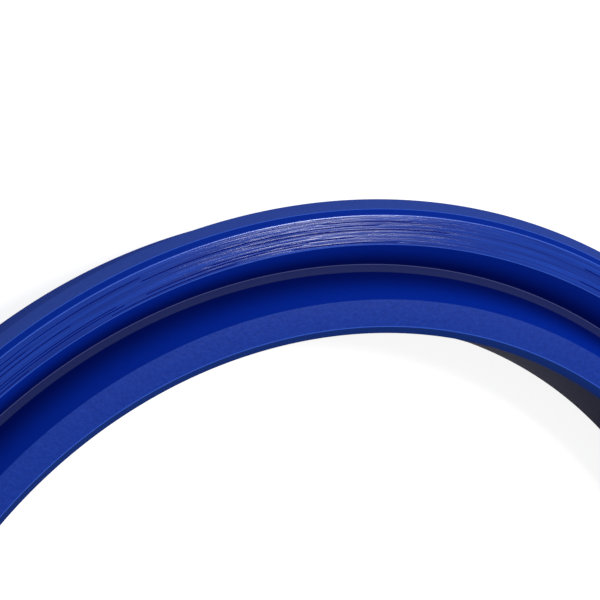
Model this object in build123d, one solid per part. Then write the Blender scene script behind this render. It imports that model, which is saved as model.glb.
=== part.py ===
from build123d import *
import os

# U cup seal for a hydraulic piston: one ring of polyurethane, moulded and then trimmed by knife.
# Its inner side is the static one and grips the bottom of the piston's groove. Its outer side is
# the moving one, with a lip that flares out to wipe the cylinder's bore.
# The heel stands on z = 0, the axis is Z and both lips point up. All sizes are in mm.

# Housing that the seal is made for
pistonGrooveDiameter = 80.0
sectionWidth = 10.0        # from the bottom of the piston's groove out to the bore
sealHeight = 10.0

# Heel: the solid part below the groove
heelGrip = 0.45            # inner wall smaller than the piston's groove, on each side
heelBoreGap = 1.2          # outer wall clear of the bore, on each side
heelWallTop = 4.5          # the straight heel walls end here and the lips begin
heelChamfer = 0.5          # broken corners at the foot
flareRadius = 6.0          # soft bend from heel wall to lip

# Lips, in their free shape before fitting
innerLipGrip = 0.15        # inner lip smaller than the piston's groove, on each side
outerLipReach = 0.5        # outer lip past the bore, on each side
innerTrimWidth = 0.6       # slanted trim between a lip's widest circle and its flat land
outerTrimWidth = 1.15
innerTrimDrop = 0.45       # height of that trim
outerTrimDrop = 0.9
innerLandWidth = 2.15      # flat top of each lip
outerLandWidth = 2.4

# Groove between the lips, which the pressure opens
grooveDepth = 2.8
grooveFloorWidth = 0.8
grooveFloorRadius = 0.25

boreDiameter = pistonGrooveDiameter + 2 * sectionWidth
heelInnerRadius = pistonGrooveDiameter / 2 - heelGrip
heelOuterRadius = boreDiameter / 2 - heelBoreGap
innerLipRadius = pistonGrooveDiameter / 2 - innerLipGrip
outerLipRadius = boreDiameter / 2 + outerLipReach
innerLandRadius = innerLipRadius + innerTrimWidth
outerLandRadius = outerLipRadius - outerTrimWidth
grooveInnerRadius = innerLandRadius + innerLandWidth
grooveOuterRadius = outerLandRadius - outerLandWidth
grooveMiddleRadius = (grooveInnerRadius + grooveOuterRadius) / 2
grooveFloorHeight = sealHeight - grooveDepth


def cornersAt(section, radius, height):
    """Corners of the section that lie at one radius and height."""
    reach = 0.001
    near = section.vertices().filter_by_position(Axis.X, radius - reach, radius + reach)
    return near.filter_by_position(Axis.Y, height - reach, height + reach)


def ringSection():
    """Heel and lips as one closed outline, radius along X and height along Y."""
    outline = Polyline(
        (heelInnerRadius, 0),
        (heelOuterRadius, 0),
        (heelOuterRadius, heelWallTop),
        (outerLipRadius, sealHeight - outerTrimDrop),
        (outerLandRadius, sealHeight),
        (innerLandRadius, sealHeight),
        (innerLipRadius, sealHeight - innerTrimDrop),
        (heelInnerRadius, heelWallTop),
        close=True,
    )
    section = make_face(outline)
    for radius in (heelInnerRadius, heelOuterRadius):
        section = chamfer(cornersAt(section, radius, 0), heelChamfer)
        section = fillet(cornersAt(section, radius, heelWallTop), flareRadius)
    return section


def grooveSection():
    """The groove's outline: two walls that close in from the lands to a narrow rounded floor."""
    floorInnerRadius = grooveMiddleRadius - grooveFloorWidth / 2
    floorOuterRadius = grooveMiddleRadius + grooveFloorWidth / 2
    outline = Polyline(
        (grooveInnerRadius, sealHeight),
        (floorInnerRadius, grooveFloorHeight),
        (floorOuterRadius, grooveFloorHeight),
        (grooveOuterRadius, sealHeight),
        close=True,
    )
    section = make_face(outline)
    for radius in (floorInnerRadius, floorOuterRadius):
        section = fillet(cornersAt(section, radius, grooveFloorHeight), grooveFloorRadius)
    return section


def uCupSeal():
    """The section without its groove, turned once round the axis."""
    section = ringSection() - grooveSection()
    return revolve(Plane.XZ * section, Axis.Z)


os.makedirs("parts", exist_ok=True)
export_step(uCupSeal(), "parts/u_cup_seal.step")
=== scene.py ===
import math
import random

import bpy
from mathutils import Matrix, Vector


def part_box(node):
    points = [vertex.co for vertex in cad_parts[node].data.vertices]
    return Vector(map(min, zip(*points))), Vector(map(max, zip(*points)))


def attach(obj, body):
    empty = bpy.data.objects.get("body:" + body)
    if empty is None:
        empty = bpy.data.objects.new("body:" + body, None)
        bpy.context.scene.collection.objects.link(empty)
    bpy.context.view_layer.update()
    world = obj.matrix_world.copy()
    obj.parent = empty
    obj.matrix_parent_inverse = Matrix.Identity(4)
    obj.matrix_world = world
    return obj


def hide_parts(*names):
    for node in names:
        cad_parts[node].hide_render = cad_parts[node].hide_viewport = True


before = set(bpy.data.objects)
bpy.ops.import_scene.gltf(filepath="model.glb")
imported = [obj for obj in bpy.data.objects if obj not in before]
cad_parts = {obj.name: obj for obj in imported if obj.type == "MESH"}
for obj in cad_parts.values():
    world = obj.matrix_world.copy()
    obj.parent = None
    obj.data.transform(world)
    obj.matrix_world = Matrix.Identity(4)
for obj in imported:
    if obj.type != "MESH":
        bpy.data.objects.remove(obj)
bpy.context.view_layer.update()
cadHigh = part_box("u_cup_seal")[1]           # highest corner of the solid's box

mm = 0.001                                  # sizes below are in mm, Blender's are in metres
lipTop = cadHigh[2] / mm
outerLip = cadHigh[0] / mm
random.seed(7)

# the ring, in mm: radii and heights of its section, then the marks that trimming left on it
ring = {
    "segments": 480,
    "innerHeel": 39.55, "outerHeel": 48.8,  # radius of the straight walls at the foot
    "heelChamfer": 0.5,
    "heelWallTop": 4.5,
    "flareReach": 1.05,                     # how far under and over its top a wall bends into a lip
    "innerLip": 39.85,
    "innerTrimWidth": 0.6, "innerTrimDrop": 0.45,
    "outerTrimWidth": 1.2, "outerTrimDrop": 0.9,
    "cutWidth": 0.46, "cutDrop": 0.25,      # flatter strip that the knife took off the outer trim
    "innerLand": 2.15, "outerLand": 2.32,   # flat top of each lip
    "grooveDepth": 2.8, "grooveFloor": 0.6,
    "corner": 0.045, "cornerSteps": 3,      # how far from an edge its rounding starts
    "smoothAngle": 35,                      # degrees, past which an edge stays sharp
    "turnPitch": 0.1, "turnDepth": 0.01,    # fine turns that the knife left
    # each score's place, as a share of the land, and the angle where it begins
    "scores": {0.2: 84, 0.34: 88, 0.48: 81, 0.72: 90, 0.8: 96, 0.91: 86},
    "scoreWidth": 0.08, "scoreDepth": 0.04,
    "scoreRoom": 1.2,                       # turns stay this many half widths clear of a score
    "scoreArc": (9, 35), "scoreGap": (2, 20),   # degrees that a score runs and rests
    "lastScore": 325,                       # degrees past its beginning, where no new arc starts
}
hair = 0.01                                 # a point this near to a circle lies on it


def deselectAll():
    if bpy.context.mode != "OBJECT":
        bpy.ops.object.mode_set(mode="OBJECT")
    bpy.ops.object.select_all(action="DESELECT")


# radii where the lips' lands begin and end
def landEdges():
    outerEdge = outerLip - ring["outerTrimWidth"]
    innerEdge = ring["innerLip"] + ring["innerTrimWidth"]
    return innerEdge, innerEdge + ring["innerLand"], outerEdge - ring["outerLand"], outerEdge


def scoreRadii():
    outerEdge = landEdges()[3]
    return [outerEdge - ring["outerLand"] * share for share in ring["scores"]]


# points across the outer land, from its edge in to the groove: fine turns, and room for the scores
def trimmedLand(start, end):
    points = []
    count = round(abs(end - start) / ring["turnPitch"])
    for i in range(count + 1):
        drop = random.uniform(0, ring["turnDepth"]) if 0 < i < count else 0
        points.append((start + (end - start) * i / count, lipTop - drop))
    half = ring["scoreWidth"] / 2
    for middle in scoreRadii():
        points = [p for p in points if abs(p[0] - middle) > half * ring["scoreRoom"]]
        points += [(middle + side, lipTop) for side in (-half, 0, half)]
    return sorted(points, reverse=True)


# a rounded corner between two neighbours, as a short run of points that starts at its reach
def roundedCorner(before, corner, after, reach):
    before, corner, after = Vector(before), Vector(corner), Vector(after)
    start = corner + (before - corner).normalized() * reach
    end = corner + (after - corner).normalized() * reach
    run = []
    for i in range(ring["cornerSteps"] + 1):
        way = i / ring["cornerSteps"]
        run.append(tuple(start.lerp(corner, way).lerp(corner.lerp(end, way), way)))
    return run


# the section as radius and height, from the heel's inner corner all the way round
def sectionPoints():
    innerEdge, innerMouth, outerMouth, outerEdge = landEdges()
    middle = (innerMouth + outerMouth) / 2
    half = ring["grooveFloor"] / 2
    floor = lipTop - ring["grooveDepth"]
    chamfer = ring["heelChamfer"]
    innerHeel, outerHeel, wallTop = ring["innerHeel"], ring["outerHeel"], ring["heelWallTop"]
    corners = [
        (innerHeel, chamfer), (innerHeel + chamfer, 0),
        (outerHeel - chamfer, 0), (outerHeel, chamfer), (outerHeel, wallTop),
        (outerLip, lipTop - ring["outerTrimDrop"]),
        (outerEdge + ring["cutWidth"], lipTop - ring["cutDrop"]),
        (outerEdge, lipTop), (outerMouth, lipTop),
        (middle + half, floor), (middle - half, floor),
        (innerMouth, lipTop), (innerEdge, lipTop),
        (ring["innerLip"], lipTop - ring["innerTrimDrop"]), (innerHeel, wallTop),
    ]
    points = []
    for i, corner in enumerate(corners):
        reach = ring["flareReach"] if corner[1] == wallTop else ring["corner"]
        points += roundedCorner(corners[i - 1], corner, corners[(i + 1) % len(corners)], reach)
        if corner == (outerEdge, lipTop):
            points += trimmedLand(points[-1][0], outerMouth + ring["corner"])[1:-1]
    return points


# turns the section into a ring, one extruded circle for each of its points
def makeRing():
    points = sectionPoints()
    deselectAll()
    bpy.ops.mesh.primitive_circle_add(vertices=ring["segments"], radius=points[0][0] * mm,
                                      location=(0, 0, points[0][1] * mm))
    bpy.ops.object.transform_apply(location=True, rotation=False, scale=False)
    piece = bpy.context.object
    piece.name = "pressedSealRing"
    bpy.ops.object.mode_set(mode="EDIT")
    bpy.ops.mesh.select_all(action="SELECT")
    for (lastRadius, lastHeight), (radius, height) in zip(points, points[1:]):
        rise = (0, 0, (height - lastHeight) * mm)
        bpy.ops.mesh.extrude_edges_move(TRANSFORM_OT_translate={"value": rise})
        grow = radius / lastRadius
        bpy.ops.transform.resize(value=(grow, grow, 1), center_override=(0, 0, 0))
    bpy.ops.mesh.select_all(action="DESELECT")
    bpy.ops.mesh.select_non_manifold()      # the first and the last circle
    bpy.ops.mesh.bridge_edge_loops()
    bpy.ops.mesh.select_all(action="SELECT")
    bpy.ops.mesh.normals_make_consistent(inside=False)
    bpy.ops.object.mode_set(mode="OBJECT")
    return piece


# presses each score down along arcs of the ring, with rests between them
def cutScores(piece):
    bpy.context.view_layer.objects.active = piece
    for middle, begin in zip(scoreRadii(), ring["scores"].values()):
        bpy.ops.object.mode_set(mode="EDIT")
        bpy.ops.mesh.select_mode(type="VERT")
        bpy.ops.mesh.select_all(action="DESELECT")
        bpy.ops.object.mode_set(mode="OBJECT")
        arcs, angle = [], 0
        while angle < ring["lastScore"]:
            end = angle + random.uniform(*ring["scoreArc"])
            arcs.append((angle, end))
            angle = end + random.uniform(*ring["scoreGap"])
        for point in piece.data.vertices:
            x, y, z = point.co / mm
            if abs(math.hypot(x, y) - middle) < hair and z > lipTop - hair:
                angle = (math.degrees(math.atan2(y, x)) - begin) % 360
                point.select = any(start < angle < end for start, end in arcs)
        bpy.ops.object.mode_set(mode="EDIT")
        bpy.ops.transform.translate(value=(0, 0, -ring["scoreDepth"] * mm))
        bpy.ops.object.mode_set(mode="OBJECT")


def smoothShading(piece):
    deselectAll()
    piece.select_set(True)
    bpy.context.view_layer.objects.active = piece
    bpy.ops.object.shade_smooth_by_angle(angle=math.radians(ring["smoothAngle"]))


# gives a finish to the faces whose middle lies in one of the bands: two radii, then two heights
def finishBands(piece, material, *bands):
    piece.data.materials.append(material)
    piece.active_material_index = len(piece.data.materials) - 1
    bpy.context.view_layer.objects.active = piece
    bpy.ops.object.mode_set(mode="EDIT")
    bpy.ops.mesh.select_mode(type="FACE")
    bpy.ops.mesh.select_all(action="DESELECT")
    bpy.ops.object.mode_set(mode="OBJECT")
    for face in piece.data.polygons:
        radius, height = Vector(face.center[:2]).length / mm, face.center[2] / mm
        face.select = any(low < radius < high and bottom < height < top
                          for low, high, bottom, top in bands)
    bpy.ops.object.mode_set(mode="EDIT")
    bpy.ops.object.material_slot_assign()
    bpy.ops.object.mode_set(mode="OBJECT")


def linear(hexColor):
    channels = [int(hexColor[i:i + 2], 16) / 255 for i in (1, 3, 5)]
    channels = [c / 12.92 if c <= 0.04045 else ((c + 0.055) / 1.055) ** 2.4 for c in channels]
    return channels + [1]


# adds a node, makes its settings, and gives each input a value or a link; i0 is the first input
def addNode(tree, kind, settings=None, **links):
    node = tree.nodes.new(kind)
    for name, value in (settings or {}).items():
        setattr(node, name, value)
    for name, value in links.items():
        known = name in node.inputs
        socket = node.inputs[name] if known else node.inputs[int(name[1:])]
        if isinstance(value, bpy.types.NodeSocket):
            tree.links.new(value, socket)
        else:
            socket.default_value = value
    return node


def newMaterial(name):
    material = bpy.data.materials.new(name)
    material.use_nodes = True
    material.node_tree.nodes.clear()
    return material, material.node_tree


# for a pattern that follows the ring: the radius, and a vector that turns with the angle
def ringCoordinates(tree):
    place = addNode(tree, "ShaderNodeTexCoord").outputs["Object"]
    split = addNode(tree, "ShaderNodeSeparateXYZ", i0=place).outputs
    flat = addNode(tree, "ShaderNodeCombineXYZ", i0=split[0], i1=split[1]).outputs[0]
    radius = addNode(tree, "ShaderNodeVectorMath", {"operation": "LENGTH"}, i0=flat)
    turn = addNode(tree, "ShaderNodeVectorMath", {"operation": "NORMALIZE"}, i0=flat)
    return radius.outputs["Value"], turn.outputs[0]


# Cast polyurethane dyed ultramarine. Where it only met the mould it keeps a dense, dull skin with
# a faint orange peel. In the groove its colour darkens towards the bottom: painted shade.
grooveSkin = {
    "color": "#02279a", "peelColor": "#052ca2", "depthShadingColor": "#021364",
    "depthShadingFrom": 0.3, "depthShadingTo": 2.7,         # mm under the lips, where the deep colour sets in
    "roughness": 0.5, "specular": 0.04,
    "peelSize": 0.5, "peelHeight": 0.004,   # mm
}

# The groove's floor is a dull, greyish navy: painted shade at the groove's bottom, with a painted
# grey reflection.
floorSkin = {
    "color": "#1a2560", "peelColor": "#232c66", "depthShadingColor": "#1b2660",
    "depthShadingFrom": 1, "depthShadingTo": 2.7,
    "roughness": 0.6, "specular": 0.1,
    "peelSize": 0.4, "peelHeight": 0.006,
}

# Along the floor's outer corner a thin pale line is painted: a painted highlight where that corner
# catches the light.
paintedHighlightLine = {
    "color": "#4c5080", "peelColor": "#5c5f8c", "depthShadingColor": "#50548a",
    "depthShadingFrom": 1, "depthShadingTo": 2.7,
    "roughness": 0.7, "specular": 0.1,
    "peelSize": 0.3, "peelHeight": 0.01,
}

# Below the land a knife took the edge off the outer lip in one clean pass, and left a smooth, deep
# blue face.
cutSkin = {
    "color": "#022893", "peelColor": "#042d9c", "depthShadingColor": "#022893",
    "depthShadingFrom": 1, "depthShadingTo": 2,
    "roughness": 0.5, "specular": 0.04,
    "peelSize": 0.4, "peelHeight": 0.004,
}

# The lip's outer facet, the outer wall and the heel have a duller skin, a little greyer, and the
# grey is partly a painted sheen. Below the lip the wall and heel are painted lighter, as painted
# light where they stand in shade.
wallSkin = {
    "color": "#2d459c", "peelColor": "#354ea4", "depthShadingColor": "#3a58c4",
    "depthShadingFrom": 0.9, "depthShadingTo": 2,
    "roughness": 0.8, "specular": 0.02,
    "peelSize": 0.3, "peelHeight": 0.006,
}

# The inner trim is nearly as clean as the groove; below it the bore turns a dark grey navy, partly
# from release powder and partly as painted shade with a painted grey reflection.
boreSkin = {
    "color": "#16327e", "peelColor": "#1b3886", "depthShadingColor": "#34344e",
    "depthShadingFrom": 0.4, "depthShadingTo": 1.7,
    "roughness": 0.7, "specular": 0.03,
    "peelSize": 0.25, "peelHeight": 0.008,
}

# Trimming burnished the edges of the lands into glossy rims that catch the lamp; their lighter blue
# is a painted highlight, so that each draws a thin bright line.
edgeSkin = {
    "color": "#1f50c8", "peelColor": "#2c60d8", "depthShadingColor": "#1f50c8",
    "depthShadingFrom": 1, "depthShadingTo": 2,
    "roughness": 0.22, "specular": 0.6,
    "peelSize": 0.6, "peelHeight": 0.01,
}

# A score tore the surface open, so it is rough; its almost navy colour is painted shade in the
# score.
scoreSkin = {
    "color": "#08187c", "peelColor": "#0a1e8a", "depthShadingColor": "#08187c",
    "depthShadingFrom": 1, "depthShadingTo": 2,
    "roughness": 0.8, "specular": 0.02,
    "peelSize": 0.2, "peelHeight": 0.01,
}


def mouldedMaterial(name, look):
    material, tree = newMaterial(name)
    place = addNode(tree, "ShaderNodeTexCoord").outputs["Object"]
    height = addNode(tree, "ShaderNodeSeparateXYZ", i0=place).outputs[2]
    peel = addNode(tree, "ShaderNodeTexNoise", Vector=place, Scale=1 / (look["peelSize"] * mm),
                   Detail=3)
    bump = addNode(tree, "ShaderNodeBump", Strength=1, Distance=look["peelHeight"] * mm,
                   Height=peel.outputs["Fac"])
    top = addNode(tree, "ShaderNodeMix", {"data_type": "RGBA"}, i0=peel.outputs["Fac"],
                  i6=linear(look["color"]), i7=linear(look["peelColor"]))
    # under the lips the colour turns to the depth colour: painted shade in the groove and the bore,
    # painted light on the lower outer wall
    depth = addNode(tree, "ShaderNodeMapRange", {"interpolation_type": "SMOOTHSTEP"}, i0=height,
                    i1=(lipTop - look["depthShadingFrom"]) * mm, i2=(lipTop - look["depthShadingTo"]) * mm)
    color = addNode(tree, "ShaderNodeMix", {"data_type": "RGBA"}, i0=depth.outputs[0],
                    i6=top.outputs[2], i7=linear(look["depthShadingColor"]))
    shader = addNode(tree, "ShaderNodeBsdfPrincipled", Roughness=look["roughness"],
                     **{"Specular IOR Level": look["specular"], "Base Color": color.outputs[2],
                        "Normal": bump.outputs[0]})
    addNode(tree, "ShaderNodeOutputMaterial", Surface=shader.outputs[0])
    return material


# The same polyurethane where a turning knife trimmed the outer lip: satin, with fine circular lines
# and short chatter marks that catch the lamp in a fan. Real ones are finer and would not show.
knifeTrimmed = {
    # the line colour is painted shade in the hollows of the fine lines
    "color": "#1343b4", "lineShadeColor": "#06298a",
    "lineContrast": (0.3, 0.7),             # noise below and above this is all one colour
    "roughness": 0.24, "specular": 0.33, "anisotropy": 0.84,
    "lineWidth": 0.07, "lineLength": 5, "lineHeight": 0.045,        # mm
    "chatterWidth": 0.09, "chatterLength": 1.3, "chatterHeight": 0.03,
    "wander": 0.3, "wanderLength": 3,       # how far the chatter strays from the turns
}


def trimmedMaterial():
    look = knifeTrimmed
    material, tree = newMaterial("polyurethaneKnifeTrimmed")
    radius, turn = ringCoordinates(tree)
    strayTurn = addNode(tree, "ShaderNodeVectorMath", {"operation": "SCALE"}, i0=turn,
                        Scale=outerLip / look["wanderLength"] / 2)
    stray = addNode(tree, "ShaderNodeTexNoise", Vector=strayTurn.outputs[0], Scale=1, Detail=1)
    strayed = addNode(tree, "ShaderNodeMath", {"operation": "MULTIPLY_ADD"},
                      i0=stray.outputs["Fac"], i1=look["wander"] * 2 * mm, i2=radius).outputs[0]
    fields, normal = [], None
    # each pattern changes once in its width across the ring, and once in its length along it
    for kind, track in (("line", radius), ("chatter", strayed)):
        across = addNode(tree, "ShaderNodeMath", {"operation": "DIVIDE"}, i0=track,
                         i1=look[kind + "Width"] * 2 * mm)
        column = addNode(tree, "ShaderNodeCombineXYZ", i2=across.outputs[0])
        around = addNode(tree, "ShaderNodeVectorMath", {"operation": "SCALE"}, i0=turn,
                         Scale=outerLip / look[kind + "Length"] / 2)
        spot = addNode(tree, "ShaderNodeVectorMath", i0=around.outputs[0], i1=column.outputs[0])
        noise = addNode(tree, "ShaderNodeTexNoise", Vector=spot.outputs[0], Scale=1, Detail=2)
        bump = addNode(tree, "ShaderNodeBump", Strength=1, Distance=look[kind + "Height"] * mm,
                       Height=noise.outputs["Fac"])
        if normal:
            tree.links.new(normal, bump.inputs["Normal"])
        normal = bump.outputs[0]
        fields.append(noise.outputs["Fac"])
    dim, bright = look["lineContrast"]
    # where the lines' bump is low the colour turns darker: painted shade
    spread = addNode(tree, "ShaderNodeMapRange", i0=fields[0], i1=dim, i2=bright)
    fine = addNode(tree, "ShaderNodeMix", {"data_type": "RGBA"}, i0=spread.outputs[0],
                   i6=linear(look["lineShadeColor"]), i7=linear(look["color"]))
    tangent = addNode(tree, "ShaderNodeTangent", {"axis": "Z"})
    shader = addNode(tree, "ShaderNodeBsdfPrincipled", Roughness=look["roughness"],
                     **{"Specular IOR Level": look["specular"], "Anisotropic": look["anisotropy"],
                        "Anisotropic Rotation": 0.25,       # a quarter turn, to run round the ring
                        "Base Color": fine.outputs[2], "Normal": normal,
                        "Tangent": tangent.outputs[0]})
    addNode(tree, "ShaderNodeOutputMaterial", Surface=shader.outputs[0])
    return material


# The inner lip was ground instead of cut, which leaves it matt and evenly sandy.
groundLand = {
    "color": "#03288a", "paleColor": "#1842b2",
    "roughness": 0.5, "specular": 0.13,
    "grit": 0.18, "gritHeight": 0.045,      # mm
}


def groundMaterial():
    look = groundLand
    material, tree = newMaterial("polyurethaneGroundLip")
    place = addNode(tree, "ShaderNodeTexCoord").outputs["Object"]
    grit = addNode(tree, "ShaderNodeTexNoise", Vector=place, Scale=1 / (look["grit"] * 2 * mm),
                   Detail=3, Roughness=0.7)
    bump = addNode(tree, "ShaderNodeBump", Strength=1, Distance=look["gritHeight"] * mm,
                   Height=grit.outputs["Fac"])
    color = addNode(tree, "ShaderNodeMix", {"data_type": "RGBA"}, i0=grit.outputs["Fac"],
                    i6=linear(look["color"]), i7=linear(look["paleColor"]))
    shader = addNode(tree, "ShaderNodeBsdfPrincipled", Roughness=look["roughness"],
                     **{"Specular IOR Level": look["specular"], "Base Color": color.outputs[2],
                        "Normal": bump.outputs[0]})
    addNode(tree, "ShaderNodeOutputMaterial", Surface=shader.outputs[0])
    return material


studio = {
    "floorSize": 3.0,                       # metres
    "card": "#b0b0b0", "cardGlow": 0.84,    # the glow is seen and mirrored, and lights nothing
    "world": "#ffffff", "worldStrength": 0.35,
    # one square softbox: place, side and the place that it faces in mm, power in watts
    "lampPlace": (144, 148, 374), "lampSide": 76, "lampAim": (0, 45, lipTop), "lampPower": 0.96,
}


# matt white card that the camera and the reflections see as plain white, with the shadow kept
def backdropMaterial():
    material, tree = newMaterial("whiteCard")
    card = addNode(tree, "ShaderNodeBsdfDiffuse", Color=linear(studio["card"]))
    rays = addNode(tree, "ShaderNodeLightPath").outputs
    seen = rays["Is Camera Ray"]
    for kind in ("Is Glossy Ray", "Is Transmission Ray"):
        either = addNode(tree, "ShaderNodeMath", {"operation": "MAXIMUM"}, i0=seen, i1=rays[kind])
        seen = either.outputs[0]
    glow = addNode(tree, "ShaderNodeMath", {"operation": "MULTIPLY"}, i0=seen,
                   i1=studio["cardGlow"])
    lift = addNode(tree, "ShaderNodeEmission", Strength=glow.outputs[0])
    both = addNode(tree, "ShaderNodeAddShader", i0=card.outputs[0], i1=lift.outputs[0])
    addNode(tree, "ShaderNodeOutputMaterial", Surface=both.outputs[0])
    return material


def makeFloor():
    deselectAll()
    bpy.ops.mesh.primitive_plane_add(size=studio["floorSize"])
    floor = bpy.context.object
    floor.name = "studioFloor"
    floor.data.materials.append(backdropMaterial())


def makeLight():
    world = bpy.data.worlds.new("studioWorld")
    bpy.context.scene.world = world
    world.use_nodes = True
    background = world.node_tree.nodes["Background"]
    background.inputs["Color"].default_value = linear(studio["world"])
    background.inputs["Strength"].default_value = studio["worldStrength"]
    place, aim = Vector(studio["lampPlace"]), Vector(studio["lampAim"])
    bpy.ops.object.light_add(type="AREA", location=place * mm)
    lamp = bpy.context.object
    lamp.name = "keySoftbox"
    lamp.data.shape = "SQUARE"
    lamp.data.size = studio["lampSide"] * mm
    lamp.data.energy = studio["lampPower"]
    lamp.rotation_euler = (aim - place).to_track_quat("-Z", "Y").to_euler()


# the camera looks down on a stretch of the lips from beside the ring; mm and degrees
view = {
    "aimRadius": 43.24, "aimAngle": 96.85,  # point on the lips' plane in the middle of the picture
    "distance": 144.35, "azimuth": 158.63, "elevation": 66.17,
    "roll": 109.69, "lens": 111.62, "sensor": 36,
    "clipStart": 1,
}


def makeCamera():
    turn = math.radians(view["aimAngle"])
    aim = Vector((math.cos(turn), math.sin(turn), 0)) * view["aimRadius"] + Vector((0, 0, lipTop))
    azimuth, elevation = math.radians(view["azimuth"]), math.radians(view["elevation"])
    back = Vector((math.cos(azimuth) * math.cos(elevation),
                   math.sin(azimuth) * math.cos(elevation), math.sin(elevation)))
    level = Vector((0, 0, 1)).cross(back).normalized()
    right = Matrix.Rotation(math.radians(view["roll"]), 3, back) @ level
    up = back.cross(right)
    bpy.ops.object.camera_add(location=(aim + back * view["distance"]) * mm)
    camera = bpy.context.object
    camera.name = "lipCamera"
    camera.rotation_euler = Matrix((right, up, back)).transposed().to_euler()
    camera.data.lens = view["lens"]
    camera.data.sensor_width = view["sensor"]
    camera.data.clip_start = view["clipStart"] * mm
    bpy.context.scene.camera = camera


print("modelling the ring")
seal = makeRing()
cutScores(seal)
smoothShading(seal)

print("finishing the ring")
innerEdge, innerMouth, outerMouth, outerEdge = landEdges()
outerCut = outerEdge + ring["cutWidth"]
cutHeight = lipTop - ring["cutDrop"]
near = ring["corner"]
aboveTop, justUnder, wellUnder = lipTop + 1, lipTop - 0.05, lipTop - 1
offTheFlat = lipTop - 0.0003                # under this, a face by a land belongs to its edge
inGroove = 1                                # above the underside, which is left out
floorTop = lipTop - ring["grooveDepth"] + 0.05
highlightLineRadius = (innerMouth + outerMouth + ring["grooveFloor"]) / 2
cutUnder = lipTop - ring["scoreDepth"] * 0.3    # a face this deep lies in a score

seal.data.materials.append(mouldedMaterial("polyurethaneWallSkinPaintedLight", wallSkin))
finishBands(seal, mouldedMaterial("polyurethaneBoreSkinPaintedShade", boreSkin),
            (0, innerEdge, 0, lipTop - near / 2))
finishBands(seal, mouldedMaterial("polyurethaneGrooveSkinPaintedShade", grooveSkin),
            (innerMouth, outerMouth, inGroove, aboveTop))
finishBands(seal, mouldedMaterial("polyurethaneGrooveFloorPaintedShadeAndSheen", floorSkin),
            (innerMouth, outerMouth, inGroove, floorTop))
# the thin pale line along the floor's outer corner is a painted highlight
finishBands(seal, mouldedMaterial("polyurethanePaintedHighlightLine", paintedHighlightLine),
            (highlightLineRadius - near, highlightLineRadius + near, inGroove, floorTop))
finishBands(seal, mouldedMaterial("polyurethaneKnifeCut", cutSkin),
            (outerEdge, outerCut, cutHeight, aboveTop))
finishBands(seal, trimmedMaterial(), (outerMouth - near, outerEdge + near, justUnder, aboveTop))
finishBands(seal, groundMaterial(), (innerEdge, innerMouth + near, justUnder, aboveTop))
landRims = [(edge - near, edge + near, justUnder, offTheFlat)
            for edge in (outerEdge, outerMouth, innerEdge)]
finishBands(seal, mouldedMaterial("polyurethaneBurnishedEdgePaintedHighlight", edgeSkin), *landRims,
            (outerCut - near / 2, outerCut + near / 2, cutHeight - near, aboveTop))
finishBands(seal, mouldedMaterial("polyurethaneScorePaintedShade", scoreSkin),
            (outerMouth + near, outerEdge - near, wellUnder, cutUnder))
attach(seal, "root")
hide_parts("u_cup_seal")

print("setting the studio")
makeFloor()
makeLight()
makeCamera()
bpy.context.scene.view_settings.view_transform = "Standard"
